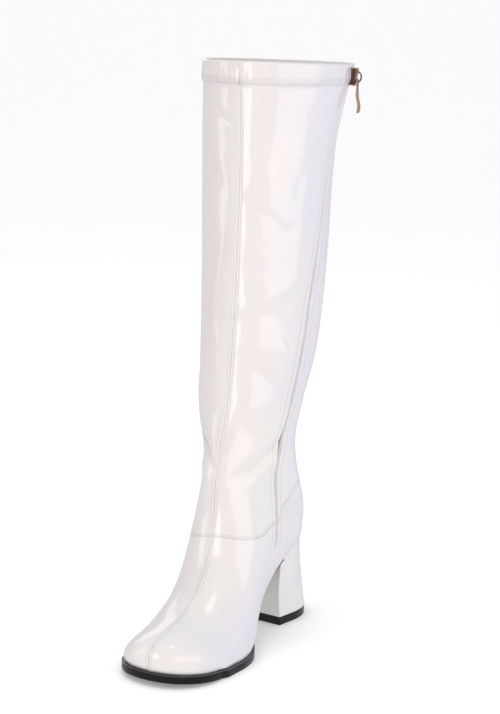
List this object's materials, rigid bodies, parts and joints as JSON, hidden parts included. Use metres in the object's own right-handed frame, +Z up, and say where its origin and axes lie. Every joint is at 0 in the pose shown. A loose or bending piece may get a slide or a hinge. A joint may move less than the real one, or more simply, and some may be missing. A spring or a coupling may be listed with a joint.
{
  "type": "knee-high boot",
  "caption": "Right knee-high boot with a smooth close shaft, turned cuff, rounded toe, inner side zip with a hanging pull tab, and a covered block heel.",
  "frame": {"origin": "middle of the heel's resting face, on the floor", "axes": "+Z up along the shaft, toe towards -Y, +X towards the wearer's inner (left) side"},
  "size_m": [0.1251, 0.2591, 0.4635],
  "materials": {
    "white_patent": "high gloss white patent with a faint pearl sheen",
    "black_sole": "glossy black edge",
    "pale_lining": "matt pale lining",
    "zip_tape": "satin nylon coil",
    "rose_gold": "polished rose gold"
  },
  "bodies": {
    "boot": {"outsole": "black_sole", "heel": "white_patent", "top_piece": "black_sole", "upper": "white_patent", "insole": "pale_lining", "zip_chain": "zip_tape", "zip_slider": "rose_gold"},
    "pull": {"zip_pull": "rose_gold"}
  },
  "joints": [
    {"name": "pull_swing", "type": "hinge", "parent": "boot", "child": "pull", "pos_m": [0.0617, 0.0084, 0.44875], "axis": [0.2791, -0.9603, 0], "range_deg": [0, 150]}
  ]
}
